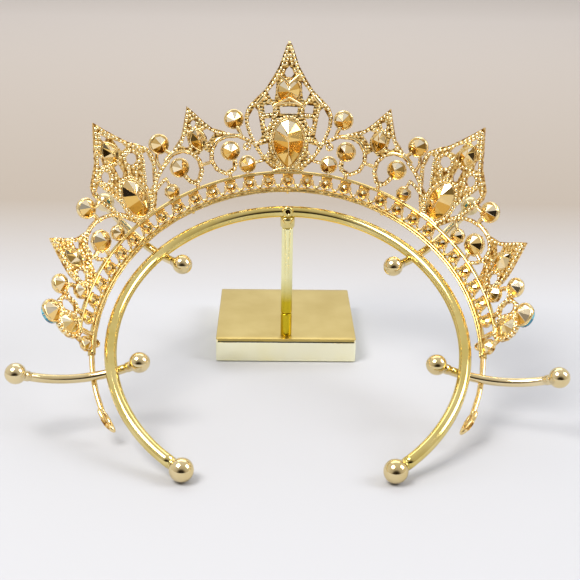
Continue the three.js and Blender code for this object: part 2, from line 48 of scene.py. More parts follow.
# The stand and the crown, with the same driving sizes as the solids.
BASE = {"side": 60, "thick": 10.8, "corner": 1, "tightest": 0.3}
POST = {"y": -24.6, "radius": 2.4, "foot": 9.8, "groove": 0.7, "sunk": 0.02}
HOOP = {"radius": 66.5, "tilt": math.radians(30.4), "tube": 2.35, "top": 66, "ball": 4.4, "socket": 6.5}
SCREW_RISE = 0.8
ARM = {"rod": 1.7, "ball": 3.95, "bend": 41, "inner": 10.4, "outer": 34, "low": 8.65, "weld": 0.4}
ARM_PLACES = [math.radians(48.4), math.radians(100.6)]
CROWN = {"radius": 74.6, "flare": math.radians(37.3), "lean": math.radians(5.25), "up": 3.9, "under": -5.7}
GAP = 0.3
BALL_ROWS = 14

# The tiara's small work. A bead has its pitch, steps and sides, the share of the wire's width that its half
# width takes, the part of that left at its neck, and its half depth at the neck and at the crown.
BEAD = {"pitch": 1.75, "steps": 5, "sides": 7, "half": 0.47, "neck": 0.4, "shallow": 0.5, "deep": 1.2}
BORDER = {"stones": ("centre_pear", "tall_oval", "end_oval"), "out": 1.5, "width": 1.5}
PLAIN_DEEP = 1.15
STRAP = {"half": 0.5, "deep": 0.45, "start": 2.6, "fall": 1.6}
LEG = {"start": math.radians(94.6), "sweep": math.radians(20.1), "half": 1.05}
EYELET = {"start": math.radians(114.5), "half": 3.4, "rise": 1.6, "wire": 0.87}
PEG = {"places": [0, math.radians(32), -math.radians(32)], "heights": [-0.5, -1.1, -1.7], "half": 0.7}
RIM = {"out": 0.25, "half": 0.38, "deep": 1.15}
GALLERY = {"h": 3.85, "pitch": math.radians(6), "each_side": 14, "back": 1.9, "front": 2.1}

# Each rail has its height, half width, half depth and reach each way round the band.
RAILS = [
    (0.52, 0.58, 1.5, math.radians(95)),
    (-0.52, 0.58, 1.5, math.radians(95)),
    (7.3, 0.65, 1.15, math.radians(90)),
]

# A foiled back has the place of its edge, that edge's reach under the rim, the width of its tip, how fast its
# keel shortens as the stone widens, and its depth as a share of a round stone and of a long one. A front has
# how far it stands out, its crown's height as a share of the stone, its reach past the stone's outline, and
# how far it sits outwards along the band. The two lap over each other at the sheet. The crown's cut lists
# shares of the outline and of the crown's height.
BACK = {"edge": 0.5, "under": 0.55, "tip": 0.04, "keel": 1.8, "round": 0.4, "long": 0.32}
FRONT = {"stand": 1.2, "crown": 0.15, "grow": 0.6, "out": 0}
BLUE_FRONT = {"stand": 1, "crown": 0.1, "grow": 0.8, "out": 0.25}
LAP = 0.1
CROWN_CUT = [(0.58, 1), (0.82, 0.7), (1, 0)]

# A facet's tone, which is painted reflection on the flat stones: how far it follows the way the facet faces,
# how far it is scattered, and the step by which the scatter goes on from one facet to the next.
FACET_TONE = {"lean": 0.45, "scatter": 0.5, "step": 0.6180339}

# The camera fitted to the photograph, with its lens in pixels of the square frame.
CAMERA = {
    "place": (-7.066, -464.46, 198.469),
    "pitch": math.radians(20.817),
    "yaw": math.radians(1.110),
    "roll": math.radians(0.906),
    "lens": 1105.85,
    "frame": 580,
    "sensor": 36,
}

# The floor, in metres: half its side, and where along Y its tone starts and ends its change.
FLOOR = {"half": 40, "from": 0.04, "to": 1.14}

# The outline of each cut: how its upper and lower halves bow, its number of facets, and the share of a
# facet that they are turned by, which is none where a corner has to meet a point.
CUTS = {
    "round": {"upper": 1, "lower": 1, "facets": 8, "turn": 0.25},
    "oval": {"upper": 1, "lower": 1, "facets": 10, "turn": 0.25},
    "marquise": {"upper": 2, "lower": 2, "facets": 8, "turn": 0},
    "pear": {"upper": 1, "lower": 1.8, "facets": 12, "turn": 0},
    "rim": {"upper": 1, "lower": 1, "facets": 24, "turn": 0.25},
}

# The motifs, from the middle to the end, for the right-hand side. Beaded and plain wires are a width
# and the points that the wire runs through. Stones have their name, cut, place and half sizes.
MOTIFS = {
    "centre": {
        "angle": 0,
        "beaded": [
            (1.5, [(0.3, 59.4), (1.2, 56.8), (3.1, 50.9), (6.4, 44.9), (10.3, 39.6)]),
            (1.3, [(0.3, 56.4), (0.7, 54), (1.3, 51.4)]),
            (1.3, [(2, 50.4), (2.8, 48.4), (3.8, 46.7)]),
            (1.5, [(12.6, 37), (15.1, 36.2), (17, 33.3), (17.2, 29.6), (16, 25), (13.6, 19.6)]),
            (1.5, [(12.8, 36.2), (11.8, 31.8), (10.7, 28), (9.5, 25.2), (8.2, 23.4)]),
            (1.3, [(7.6, 22.4), (10.2, 21), (14, 20.2)]),
            (1.5, [(14, 20.4), (12.2, 17), (10, 14), (7, 11.4), (3.8, 9)]),
            (1.4, [(13.8, 20), (17.4, 22.4), (20.6, 24.3), (25, 25.1)]),
            (1.5, [(10.2, 39.2), (7.6, 36.8), (5.8, 34.4), (4.6, 31.4)]),
            (1.3, [(4.6, 31), (7.6, 31.7), (11.4, 31.2)]),
            (1.2, [(6.2, 29.6), (8, 26.8), (9.2, 25)]),
            (1.2, [(6.6, 18), (8.6, 15.6), (9.4, 13.8)]),
            (1.2, [(10.2, 12.9), (12.4, 12.4), (14, 12.2)]),
        ],
        "plain": [
            (1.5, [(-0.2, 60.5), (0.4, 60.4)]),
            (2.2, [(10.2, 39.9), (11.6, 38.2), (13.2, 36.7)]),
            (1.9, [(-0.3, 36.8), (3.2, 36.4), (6.2, 35.2)]),
            (1.3, [(22.2, 29), (20.6, 27), (19.4, 23.8)]),
            (1.2, [(17, 9.4), (17, 7.2)]),
            (1.6, [(-0.3, 9), (3, 8.9), (6.4, 8)]),
        ],
        "straps": [
            [(-0.2, 44.2), (1.8, 46), (4.4, 48)],
            [(-0.2, 38.9), (2.6, 37.4), (5.6, 35.5)],
        ],
        "rings": [(7.9, 22.7, 1, 1, 1.1), (17.2, 19.4, 1.2, 1.2, 1.1)],
        "stones": [
            ("centre_pear", "pear", 0, 21, 6, 8.2, 11.4),
            ("centre_oval", "oval", 0, 41.6, 4.4, 4.2, 4.8),
            ("stalk_round", "round", 22.7, 31.4, 3.2, 3.2, 3.2),
            ("band_round", "round", 17, 12, 2.8, 2.8, 2.8),
        ],
    },
    "small": {
        "angle": math.radians(24.3),
        "beaded": [
            (1.5, [(0.2, 39.6), (-2.3, 35.4), (-5.2, 31), (-8.6, 27.7), (-14.2, 25.5)]),
            (1.5, [(0.4, 39.6), (2.2, 35.6), (4.4, 31.2), (6.8, 27.8), (12.2, 25.1)]),
            (1.6, [(0.3, 38), (0, 35)]),
            (1.3, [(-2.2, 34), (-0.8, 31.8), (0.2, 31)]),
            (1.3, [(2.1, 34.2), (1, 32), (0.2, 31)]),
            (1.4, [(-4.4, 31), (-0.4, 30.9), (3.6, 31.2)]),
            (1.5, [(-5.6, 22), (-3.7, 17.4), (-5.2, 11.8), (-9.6, 9.6), (-13, 12.4), (-12.9, 15)]),
            (1.5, [(4.4, 22.8), (1.5, 18.4), (2, 12.6), (5.2, 9.6), (8.2, 12.4), (9.2, 14.8)]),
            (1.3, [(-5.6, 22.8), (-4.2, 23.2), (-2.8, 23.9)]),
            (1.3, [(4.4, 23.6), (3.2, 24.6), (2.2, 25.2)]),
            (1.2, [(16.5, 13.6), (17, 15.4), (17.4, 17.2)]),
        ],
        "plain": [
            (1.7, [(-16, 24.6), (-13, 25.1), (-10, 24.9), (-7.4, 23.9), (-5.6, 22)]),
            (1.7, [(15.4, 23.4), (12.8, 24.8), (10.2, 25), (7, 24.4), (4.4, 22.8)]),
            (1.2, [(-3.4, 16.2), (1.4, 16.2)]),
            (1.4, [(-9.4, 9.6), (-9.4, 7.2)]),
            (1.4, [(4.9, 9.6), (4.9, 7.2)]),
            (1.3, [(14.4, 28), (13, 26.4), (12, 24.6)]),
            (1.2, [(18, 28), (18.9, 25.4), (18.2, 21.6)]),
            (1.2, [(16.2, 9.2), (16.2, 7.2)]),
        ],
        "straps": [],
        "rings": [],
        "stones": [
            ("small_marquise", "marquise", -0.2, 26.9, 2.6, 4.3, 4.3),
            ("scroll_round_inner", "round", -12.2, 18.8, 3.2, 3.2, 3.2),
            ("scroll_round_outer", "round", 10.3, 18.5, 3.2, 3.2, 3.2),
            ("valley_round", "round", 16, 30.9, 3.3, 3.3, 3.3),
            ("side_round_inner", "round", 16.2, 10.8, 2.2, 2.2, 2.2),
        ],
    },
    "tall": {
        "angle": math.radians(46.2),
        "beaded": [
            (1.5, [(-0.2, 50), (-2.5, 45.7), (-5.5, 40.8), (-8.9, 36.1), (-11.6, 33.6)]),
            (1.5, [(-0.1, 50), (2.2, 45.9), (5, 41.4), (8.2, 36.4), (11, 33.8)]),
            (1.5, [(-0.2, 47.6), (-1.9, 44.6), (-3, 42.9)]),
            (1.5, [(-0.1, 47.6), (1.6, 44), (3.4, 41.8)]),
            (1.5, [(-11.6, 33.8), (-13.8, 31.5), (-14.4, 28.4), (-13.3, 23.6), (-10.9, 18.6), (-7.8, 14)]),
            (1.5, [(11, 34), (13.5, 31.6), (14.4, 28.6), (13.4, 23.8), (11, 18), (7.4, 12.4)]),
            (1.5, [(-11.4, 33.6), (-10.6, 28.4), (-8.4, 23.6), (-6.6, 19.4)]),
            (1.5, [(11, 33.6), (10, 28.8), (8.3, 24), (6.8, 19.6)]),
            (1.5, [(-8.6, 35), (-4.4, 34.6), (0.2, 33.8), (4.8, 34.6), (8.6, 35)]),
            (1.4, [(-7.2, 27.6), (-5.6, 25.8), (-4.4, 24.8)]),
            (1.4, [(7.6, 28), (6.2, 26), (5, 24.8)]),
            (1.3, [(-3.6, 29.4), (-2.2, 27), (-1.6, 25.4)]),
            (1.3, [(4, 29.4), (3, 27), (2.6, 25.4)]),
            (1.4, [(-8.4, 15.2), (-12, 18.9), (-16.4, 21.6), (-20.2, 23.4)]),
            (1.4, [(8, 13.4), (11.4, 16.8), (15.6, 19.4), (20.4, 20.7)]),
            (1.2, [(-14.9, 16.8), (-11.8, 15.9), (-8.4, 14.4)]),
            (1.3, [(-6.4, 16), (-5.8, 12), (-3.4, 8.6)]),
            (1.3, [(6.6, 16), (6, 12), (3.8, 8.6)]),
        ],
        "plain": [
            (1.1, [(13.4, 12.4), (11.6, 13.8), (9.6, 15)]),
            (1.3, [(20.2, 24.8), (19.4, 22.8), (19.2, 20.4)]),
            (1.2, [(18.6, 25.4), (16, 25.2), (14.4, 25.8)]),
            (1.2, [(14.8, 9.4), (14.8, 7.2)]),
            (1.6, [(-4.4, 8), (0.2, 8.3), (4.8, 8)]),
        ],
        "straps": [],
        "rings": [(-6.6, 31.2, 3.2, 3.2, 1.5), (6.9, 31.2, 2.8, 2.9, 1.5)],
        "stones": [
            ("tall_marquise", "marquise", 0.2, 38.1, 2.8, 4.5, 4.5),
            ("tall_oval", "oval", 0.4, 16.8, 4.7, 7.8, 7.6),
            ("side_round_outer", "round", 14.8, 10.8, 2.2, 2.2, 2.2),
            ("outer_valley_round", "round", 21.1, 27.6, 3.3, 3.3, 3.3),
        ],
    },
    "low": {
        "angle": math.radians(72.1),
        "beaded": [
            (1.5, [(0.2, 31.6), (-2.1, 29), (-5, 25.3), (-8.4, 22.2), (-13, 20.9)]),
            (1.5, [(0.2, 31.6), (1.6, 28.2), (3.3, 24.3), (5, 20.3), (6.3, 16)]),
            (1.5, [(0.1, 30.6), (-0.3, 27.2)]),
            (1.5, [(-13, 20.9), (-8.2, 18.6), (-6.4, 14.6), (-7.6, 10.2), (-10.4, 7.2)]),
            (1.3, [(-6.6, 15.4), (-4.6, 16.2), (-3, 17.4)]),
            (1.3, [(-6.6, 13), (-3.6, 13.6), (-0.4, 12.6)]),
            (1.3, [(-0.8, 17), (0.8, 16.2)]),
            (1.4, [(6.4, 16), (6.5, 12.6), (5.4, 9.4), (4.2, 7.2)]),
        ],
        "plain": [
            (1.5, [(-19.6, 21), (-16, 21.1), (-13, 20.9)]),
            (1.2, [(-1.2, 10.8), (-2, 7.2)]),
            (1.3, [(3, 10), (3, 7.2)]),
            (1.4, [(10.8, 18.2), (9.4, 16.4), (8.6, 14.4)]),
            (1.2, [(6.4, 12.6), (5.2, 14.4)]),
            (1.4, [(-10, 12.6), (-6.8, 12.2)]),
            (1.4, [(-13, 10), (-12.2, 7.2)]),
            (1.2, [(8.6, 9), (8.8, 7.2)]),
        ],
        "straps": [],
        "rings": [(3, 13.4, 2.7, 3.1, 1.4)],
        "stones": [
            ("low_marquise", "marquise", -0.4, 20.4, 2.5, 4.6, 4.6),
            ("low_scroll_round", "round", -14.2, 14, 3.6, 3.6, 3.6),
            ("low_round", "round", 8.4, 11.2, 2.3, 2.3, 2.3),
            ("low_top_round", "round", 12.4, 20.9, 2.9, 2.9, 2.9),
        ],
    },
    "end": {
        "angle": math.radians(95),
        "beaded": [
            (1.4, [(-18.4, 15), (-20.6, 17.4), (-19.8, 19.2)]),
            (1.3, [(-12.6, 17.6), (-9, 17.9), (-5.8, 16.6)]),
        ],
        "plain": [
            (1.6, [(-15.6, 10.4), (-15.4, 7)]),
            (1.6, [(-8.6, 7), (-8.4, 0)]),
            (1.5, [(-4.6, 8), (-3.7, 5.2)]),
        ],
        "straps": [],
        "rings": [(-15.3, 14.7, 3.3, 4.4, 1.6), (-5.8, -1.9, 1.2, 1.2, 0.9)],
        "stones": [
            ("end_oval", "oval", -8.3, 12.4, 3.2, 4.4, 4.2),
            ("end_blue", "round", -10, 21.4, 3.7, 3.7, 3.7),
            ("end_round", "round", -3.7, 3, 2.1, 2.1, 2.1),
        ],
    },
}
SIDES = {"right": 1, "left": -1}


def ring_at(h):
    """The crown's radius at a height up the slope: the band's radius plus h times the sine of the flare."""
    return CROWN["radius"] + h * math.sin(CROWN["flare"])


def leaned(points, angle, shift):
    """Points turned about the X axis by an angle and then shifted in y and z."""
    x, y, z = np.moveaxis(points, -1, 0)
    turned_y = y * math.cos(angle) - z * math.sin(angle) + shift[0]
    turned_z = y * math.sin(angle) + z * math.cos(angle) + shift[1]
    return np.stack([x, turned_y, turned_z], -1)


def in_hoop(points):
    """Points of the hoop's own plane, leaned by its tilt so that its top stands over the post."""
    tilt, radius = HOOP["tilt"], HOOP["radius"]
    shift = (POST["y"] - radius * math.cos(tilt), HOOP["top"] - radius * math.sin(tilt))
    return leaned(points, tilt, shift)


def in_tiara(points):
    """Points of the tiara's own frame, leaned and set down over the hoop."""
    return in_hoop(leaned(points, CROWN["lean"], (CROWN["up"], CROWN["under"])))


def on_crown(turn, h, b):
    """A point of the cone: its distance out is the radius at h less b times the cosine of the flare, its
    height is h times the cosine plus b times the sine, and it is turned round the band."""
    out = ring_at(h) - b * math.cos(CROWN["flare"])
    up = h * math.cos(CROWN["flare"]) + b * math.sin(CROWN["flare"])
    turn, out, up = np.broadcast_arrays(turn, out, up)
    return in_tiara(np.stack([np.sin(turn) * out, np.cos(turn) * out, up], -1))


def seated(angle, x, h, local):
    """Rigid points (along, up the slope, backwards) carried to their seat on the crown."""
    turn = angle + x / ring_at(h)
    along = np.array([math.cos(turn), -math.sin(turn), 0])
    out = np.array([math.sin(turn), math.cos(turn), 0])
    slope = out * math.sin(CROWN["flare"]) + np.array([0, 0, math.cos(CROWN["flare"])])
    back = np.cross(along, slope)
    middle = out * ring_at(h) + np.array([0, 0, h * math.cos(CROWN["flare"])])
    return in_tiara(local @ np.stack([along, slope, back]) + middle)


def smooth_path(points, step):
    """A Catmull-Rom curve through the points, resampled to even steps of about the given length."""
    given = np.array(points, float)
    ends = [2 * given[:1] - given[1:2], given, 2 * given[-1:] - given[-2:-1]]
    knots = np.concatenate(ends)
    t = np.linspace(0, 1, 24, endpoint=False)[None, :, None]
    p0, p1, p2, p3 = (knots[i : len(knots) - 3 + i, None] for i in range(4))
    curve = 0.5 * (
        2 * p1 + (p2 - p0) * t + (2 * p0 - 5 * p1 + 4 * p2 - p3) * t**2 + (3 * p1 - p0 - 3 * p2 + p3) * t**3
    )
    curve = np.concatenate([curve.reshape(-1, 2), given[-1:]])
    reach = np.concatenate([[0], np.cumsum(np.linalg.norm(np.diff(curve, axis=0), axis=1))])
    even = np.linspace(0, reach[-1], max(3, round(reach[-1] / step) + 1))
    return np.stack([np.interp(even, reach, curve[:, i]) for i in range(2)], -1), even


def wire(angle, path, across, deep, sides=8, lift=0.0, loop=False):
    """An elliptical section carried along a path on the flat pattern: each ring stands square to the
    path, with half sizes across and deep, lifted backwards, and is then bent on to the crown."""
    before = np.roll(path, 1, 0) if loop else np.concatenate([path[:1], path[:-1]])
    after = np.roll(path, -1, 0) if loop else np.concatenate([path[1:], path[-1:]])
    tangent = after - before
    tangent /= np.linalg.norm(tangent, axis=1, keepdims=True)
    turn = np.arange(sides) * TURN / sides
    c = np.broadcast_to(across, len(path))[:, None] * np.cos(turn)
    d = np.broadcast_to(deep, len(path))[:, None] * np.sin(turn) + np.broadcast_to(lift, len(path))[:, None]
    x = path[:, :1] - tangent[:, 1:] * c
    h = path[:, 1:] + tangent[:, :1] * c
    return on_crown(angle + x / ring_at(h), h, d)


def bead_swell(length, count):
    """How full a beaded wire is at each step: a row of round swells, from 0 at a neck to 1 at a crown."""
    place = (length * count) % 1 * 2 - 1
    return np.sqrt(np.clip(1 - place**2, 0, 1))


def beaded_wire(angle, width, points, loop=False):
    """A wire worked into a row of beads: its half width and half depth follow the swell along its length."""
    if loop:
        path = np.array(points, float)
        length = np.linalg.norm(path - np.roll(path, 1, 0), axis=1).sum()
        swell = bead_swell(np.arange(len(path)) / len(path), max(3, round(length / BEAD["pitch"])))
    else:
        path, reach = smooth_path(points, BEAD["pitch"] / BEAD["steps"])
        swell = bead_swell(reach / reach[-1], max(1, round(reach[-1] / BEAD["pitch"])))
    across = BEAD["half"] * width * (BEAD["neck"] + (1 - BEAD["neck"]) * swell)
    deep = BEAD["shallow"] + (BEAD["deep"] - BEAD["shallow"]) * swell
    return wire(angle, path, across, deep, BEAD["sides"], loop=loop), np.repeat(swell, BEAD["sides"])


def oval_path(x, h, rx, rh, count):
    """Points round an ellipse on the flat pattern."""
    turn = np.arange(count) * TURN / count
    return np.stack([x + rx * np.cos(turn), h + rh * np.sin(turn)], -1)


def stone_outline(cut, half, up, down, turn, grow=0.0):
    """A stone's edge: the sine of the turn carries it up or down, and a power of the cosine across, so a
    power above 1 draws an end out to a point."""
    rises = np.sin(turn) >= 0
    power = np.where(rises, CUTS[cut]["upper"], CUTS[cut]["lower"])
    across = np.sign(np.cos(turn)) * (half + grow) * np.abs(np.cos(turn)) ** power
    return across, np.where(rises, up + grow, down + grow) * np.sin(turn)


def faceted(cut, half, up, down, rows, grow=0.0):
    """A cut stone: its outline, grown a little to reach under its rim, drawn in towards the middle by each
    row's shares, across and along, and set at its depth."""
    facets = CUTS[cut]["facets"]
    turn = (np.arange(facets) + CUTS[cut]["turn"]) * TURN / facets
    across, rise = stone_outline(cut, half, up, down, turn, grow)
    wide, long, depth = np.array(rows, float).T[..., None]
    return np.stack(np.broadcast_arrays(across * wide, rise * long, depth), -1)


def arc_tube(centre, first, second, angles, radius, sides):
    """A round section carried along a circular arc: each ring lies in the plane of the arc's radius and
    its axis, and its radius may change along the way."""
    axis = np.cross(first, second) / np.linalg.norm(np.cross(first, second))
    reach = np.outer(np.cos(angles), first) + np.outer(np.sin(angles), second)
    radial = reach / np.linalg.norm(reach, axis=1, keepdims=True)
    turn = np.arange(sides) * TURN / sides
    ring = axis * np.cos(turn)[:, None] + radial[:, None] * np.sin(turn)[:, None]
    return centre + reach[:, None] + ring * np.broadcast_to(radius, len(angles))[:, None, None]


def turned(profile, middle, sides=32):
    """A profile of radius and height turned about an upright axis."""
    radius, height = np.array(profile, float).T
    turn = np.arange(sides) * TURN / sides
    x = middle[0] + radius[:, None] * np.cos(turn)
    y = middle[1] + radius[:, None] * np.sin(turn)
    return np.stack([x, y, np.broadcast_to(middle[2] + height[:, None], x.shape)], -1)


def turned_back(profile, middle):
    """A profile of radius and reach turned about an axis that points backwards, along -Y."""
    x, y, z = np.moveaxis(turned(profile, (0, 0, 0)), -1, 0)
    return np.stack([x, -z, y], -1) + middle


def rounded_square(half, corner, steps=8):
    """Points round a square with rounded corners, anticlockwise."""
    turn = (np.arange(4)[:, None] * math.pi / 2 + np.linspace(0, math.pi / 2, steps)).ravel()
    quarter = np.repeat(np.arange(4) * math.pi / 2 + math.pi / 4, steps)
    middle = (half - corner) * math.sqrt(2)
    return np.stack([middle * np.cos(quarter) + corner * np.cos(turn),
                     middle * np.sin(quarter) + corner * np.sin(turn)], -1)


def made(name, grids, material, replaces=(), smooth=True, loops=(), values=None):
    """One mesh from many closed grids of rings. Each pair of rings is joined by quads, the ends are closed
    by fans, and a grid whose number is in loops runs round into itself instead. A piece with flat faces gets
    a tone for each
    facet that is painted reflection: it rises as the facet faces up and is scattered from one to the next."""
    points, quads, fans, start = [], [], [], 0
    for number, grid in enumerate(grids):
        rows, sides = grid.shape[:2]
        loop = number in loops
        i = np.arange(rows if loop else rows - 1)[:, None]
        j = np.arange(sides)[None]
        here, there = i * sides, (i + 1) % rows * sides
        after = (j + 1) % sides
        quads.append(start + np.stack([here + j, here + after, there + after, there + j], -1).reshape(-1, 4))
        points.append(grid.reshape(-1, 3))
        count = rows * sides
        if not loop:
            points.append(np.stack([grid[0].mean(0), grid[-1].mean(0)]))
            j, after = j[0], after[0]
            last = (rows - 1) * sides
            fans.append(start + np.stack([np.full(sides, count), after, j], -1))
            fans.append(start + np.stack([np.full(sides, count + 1), last + j, last + after], -1))
            count += 2
        start += count
    corners = np.concatenate(points) * MM
    faces = np.concatenate(quads).tolist() + (np.concatenate(fans).tolist() if fans else [])
    mesh = bpy.data.meshes.new(name)
    mesh.from_pydata(corners.tolist(), [], faces)
    mesh.polygons.foreach_set("use_smooth", np.full(len(faces), smooth))
    if values is not None:
        worn = mesh.attributes.new("swell", "FLOAT", "POINT")
        worn.data.foreach_set("value", values.astype(np.float32))
    mesh.materials.append(material)
    mesh.validate()
    if not smooth:
        normals = np.empty(3 * len(mesh.polygons), np.float32)
        mesh.polygons.foreach_get("normal", normals)
        # Painted reflection on each facet: paler as it faces up, with a scatter from one facet to the next.
        spread = np.modf(np.arange(len(mesh.polygons)) * FACET_TONE["step"])[0] - 0.5
        tone = 0.5 + FACET_TONE["lean"] * normals[2::3] + FACET_TONE["scatter"] * spread
        painted_reflection_tone = mesh.attributes.new("facet", "FLOAT", "FACE")
        painted_reflection_tone.data.foreach_set("value", np.clip(tone, 0, 1).astype(np.float32))
    piece = bpy.data.objects.new(name, mesh)
    bpy.context.scene.collection.objects.link(piece)
    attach(piece, "root")
    if replaces:
        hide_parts(*replaces)


def linear(colour):
    """An sRGB hex colour as linear red, green, blue and alpha."""
    channels = np.array([int(colour[i : i + 2], 16) for i in (1, 3, 5)]) / 255
    light = np.where(channels <= 0.04045, channels / 12.92, ((channels + 0.055) / 1.055) ** 2.4)
    return (*light.tolist(), 1.0)


def add_node(tree, kind, settings=None, stops=(), **inputs):
    """A node with its settings and, for a colour ramp, its stops. Its inputs are values or other nodes'
    outputs, and underscores in an input's name stand for spaces."""
    node = tree.nodes.new(kind)
    for key, value in (settings or {}).items():
        setattr(node, key, value)
    for number, (position, colour) in enumerate(stops):
        elements = node.color_ramp.elements
        stop = elements[number] if number < 2 else elements.new(position)
        stop.position, stop.color = position, linear(colour)
    for key, value in inputs.items():
        socket = node.inputs[key.replace("_", " ")]
        if isinstance(value, bpy.types.NodeSocket):
            tree.links.new(value, socket)
        else:
            socket.default_value = value
    return node


def new_material(name):
    """An empty material, its node tree and the Object coordinates that its patterns are drawn on."""
    material = bpy.data.materials.new(name)
    material.use_nodes = True
    tree = material.node_tree
    tree.nodes.clear()
    place = add_node(tree, "ShaderNodeTexCoord").outputs["Object"]
    return material, tree, place


def per_mm(size):
    """The texture scale, on metres, whose features are about this many millimetres."""
    return 1 / (size * MM)


def warm_gold_plate(name, dark, middle, light, worked=False):
    """Zinc alloy cast in a rubber mould, tumbled and plated with warm gold, a little rippled from the
    casting, with a painted highlight that makes its tone paler on the ripple's high places. With worked set,
    the tone follows the beads' swell instead: painted shade in the necks, painted highlight on the crowns."""
    material, tree, place = new_material(name)
    ripple = add_node(tree, "ShaderNodeTexNoise", Vector=place, Scale=per_mm(2.2), Detail=3)
    grain = add_node(tree, "ShaderNodeTexNoise", Vector=place, Scale=per_mm(0.5), Detail=2)
    # Painted highlight: the tone is paler where the ripple stands high.
    tone = ripple.outputs["Fac"]
    # Painted shade in the necks between the beads and a painted highlight on their crowns.
    if worked:
        tone = add_node(tree, "ShaderNodeAttribute", {"attribute_name": "swell"}).outputs["Fac"]
    stops = [(0.3, dark), (0.62, middle), (0.9, light)]
    colour = add_node(tree, "ShaderNodeValToRGB", stops=stops, Fac=tone)
    rough = add_node(tree, "ShaderNodeMapRange", Value=grain.outputs["Fac"], To_Min=0.1, To_Max=0.22)
    bump = add_node(tree, "ShaderNodeBump", Strength=0.3, Distance=0.08 * MM, Height=ripple.outputs["Fac"])
    surface = add_node(tree, "ShaderNodeBsdfPrincipled", Base_Color=colour.outputs["Color"], Metallic=1.0,
                       Roughness=rough.outputs["Result"], Normal=bump.outputs["Normal"])
    add_node(tree, "ShaderNodeOutputMaterial", Surface=surface.outputs["BSDF"])
    return material


def beaded_casting(name):
    """The cast sheet under the wires: a skin of rounded grains about 1.3 mm across, as a casting of closely
    set beads shows from behind, with a painted highlight on each grain's top and painted shade in the seams
    between them."""
    material, tree, place = new_material(name)
    cells = add_node(tree, "ShaderNodeTexVoronoi", Vector=place, Scale=per_mm(1.3), Randomness=0.7)
    grain = add_node(tree, "ShaderNodeTexNoise", Vector=place, Scale=per_mm(0.6), Detail=2)
    # Painted highlight at each grain's middle, painted shade towards its seams.
    stops = [(0.15, "#fff2c6"), (0.42, "#f8cc74"), (0.8, "#8a5412")]
    colour = add_node(tree, "ShaderNodeValToRGB", stops=stops, Fac=cells.outputs["Distance"])
    rough = add_node(tree, "ShaderNodeMapRange", Value=grain.outputs["Fac"], To_Min=0.14, To_Max=0.3)
    bump = add_node(tree, "ShaderNodeBump", {"invert": True}, Strength=0.6, Distance=0.4 * MM,
                    Height=cells.outputs["Distance"])
    surface = add_node(tree, "ShaderNodeBsdfPrincipled", Base_Color=colour.outputs["Color"], Metallic=1.0,
                       Roughness=rough.outputs["Result"], Normal=bump.outputs["Normal"])
    add_node(tree, "ShaderNodeOutputMaterial", Surface=surface.outputs["BSDF"])
    return material


def lemon_gold_plate(name, rough_from, rough_to, dark, light, rise=None):
    """Steel plated with lemon gold and polished: long soft reflections, broken by a faint orange peel, drawn
    coarser than it is so that it shows, and by the cloudiness of handling. Given two heights, the colour is
    painted light instead, darker at the lower height and paler at the upper one."""
    material, tree, place = new_material(name)
    cloud = add_node(tree, "ShaderNodeTexNoise", Vector=place, Scale=per_mm(14), Detail=4)
    fine = add_node(tree, "ShaderNodeTexNoise", Vector=place, Scale=per_mm(0.8), Detail=2)
    tone = cloud.outputs["Fac"]
    # Painted light: darker at the lower height, paler at the upper one.
    if rise:
        parts = add_node(tree, "ShaderNodeSeparateXYZ", Vector=place)
        tone = add_node(tree, "ShaderNodeMapRange", Value=parts.outputs["Z"], From_Min=rise[0] * MM,
                        From_Max=rise[1] * MM).outputs["Result"]
    stops = [(0.3, dark), (0.7, light)]
    colour = add_node(tree, "ShaderNodeValToRGB", stops=stops, Fac=tone)
    rough = add_node(tree, "ShaderNodeMapRange", Value=cloud.outputs["Fac"], To_Min=rough_from,
                     To_Max=rough_to)
    bump = add_node(tree, "ShaderNodeBump", Strength=0.08, Distance=0.03 * MM, Height=fine.outputs["Fac"])
    surface = add_node(tree, "ShaderNodeBsdfPrincipled", Base_Color=colour.outputs["Color"], Metallic=1.0,
                       Roughness=rough.outputs["Result"], Normal=bump.outputs["Normal"])
    add_node(tree, "ShaderNodeOutputMaterial", Surface=surface.outputs["BSDF"])
    return material


def foiled_glass(name, stops):
    """Pressed glass with a metal foil baked on its back: flat mirror facets with painted reflection in their
    colour, paler where they lean up to the light and deeper where they lean down to the gold below, with a
    scatter from facet to facet."""
    material, tree, place = new_material(name)
    facet = add_node(tree, "ShaderNodeAttribute", {"attribute_name": "facet"}).outputs["Fac"]
    cloud = add_node(tree, "ShaderNodeTexNoise", Vector=place, Scale=per_mm(1.4), Detail=2)
    # The colour follows the facet tone, which is painted reflection.
    colour = add_node(tree, "ShaderNodeValToRGB", stops=stops, Fac=facet)
    rough = add_node(tree, "ShaderNodeMapRange", Value=cloud.outputs["Fac"], To_Min=0.04, To_Max=0.12)
    bump = add_node(tree, "ShaderNodeBump", Strength=0.06, Distance=0.05 * MM, Height=cloud.outputs["Fac"])
    surface = add_node(tree, "ShaderNodeBsdfPrincipled", Base_Color=colour.outputs["Color"], Metallic=1.0,
                       Roughness=rough.outputs["Result"], Normal=bump.outputs["Normal"])
    add_node(tree, "ShaderNodeOutputMaterial", Surface=surface.outputs["BSDF"])
    return material


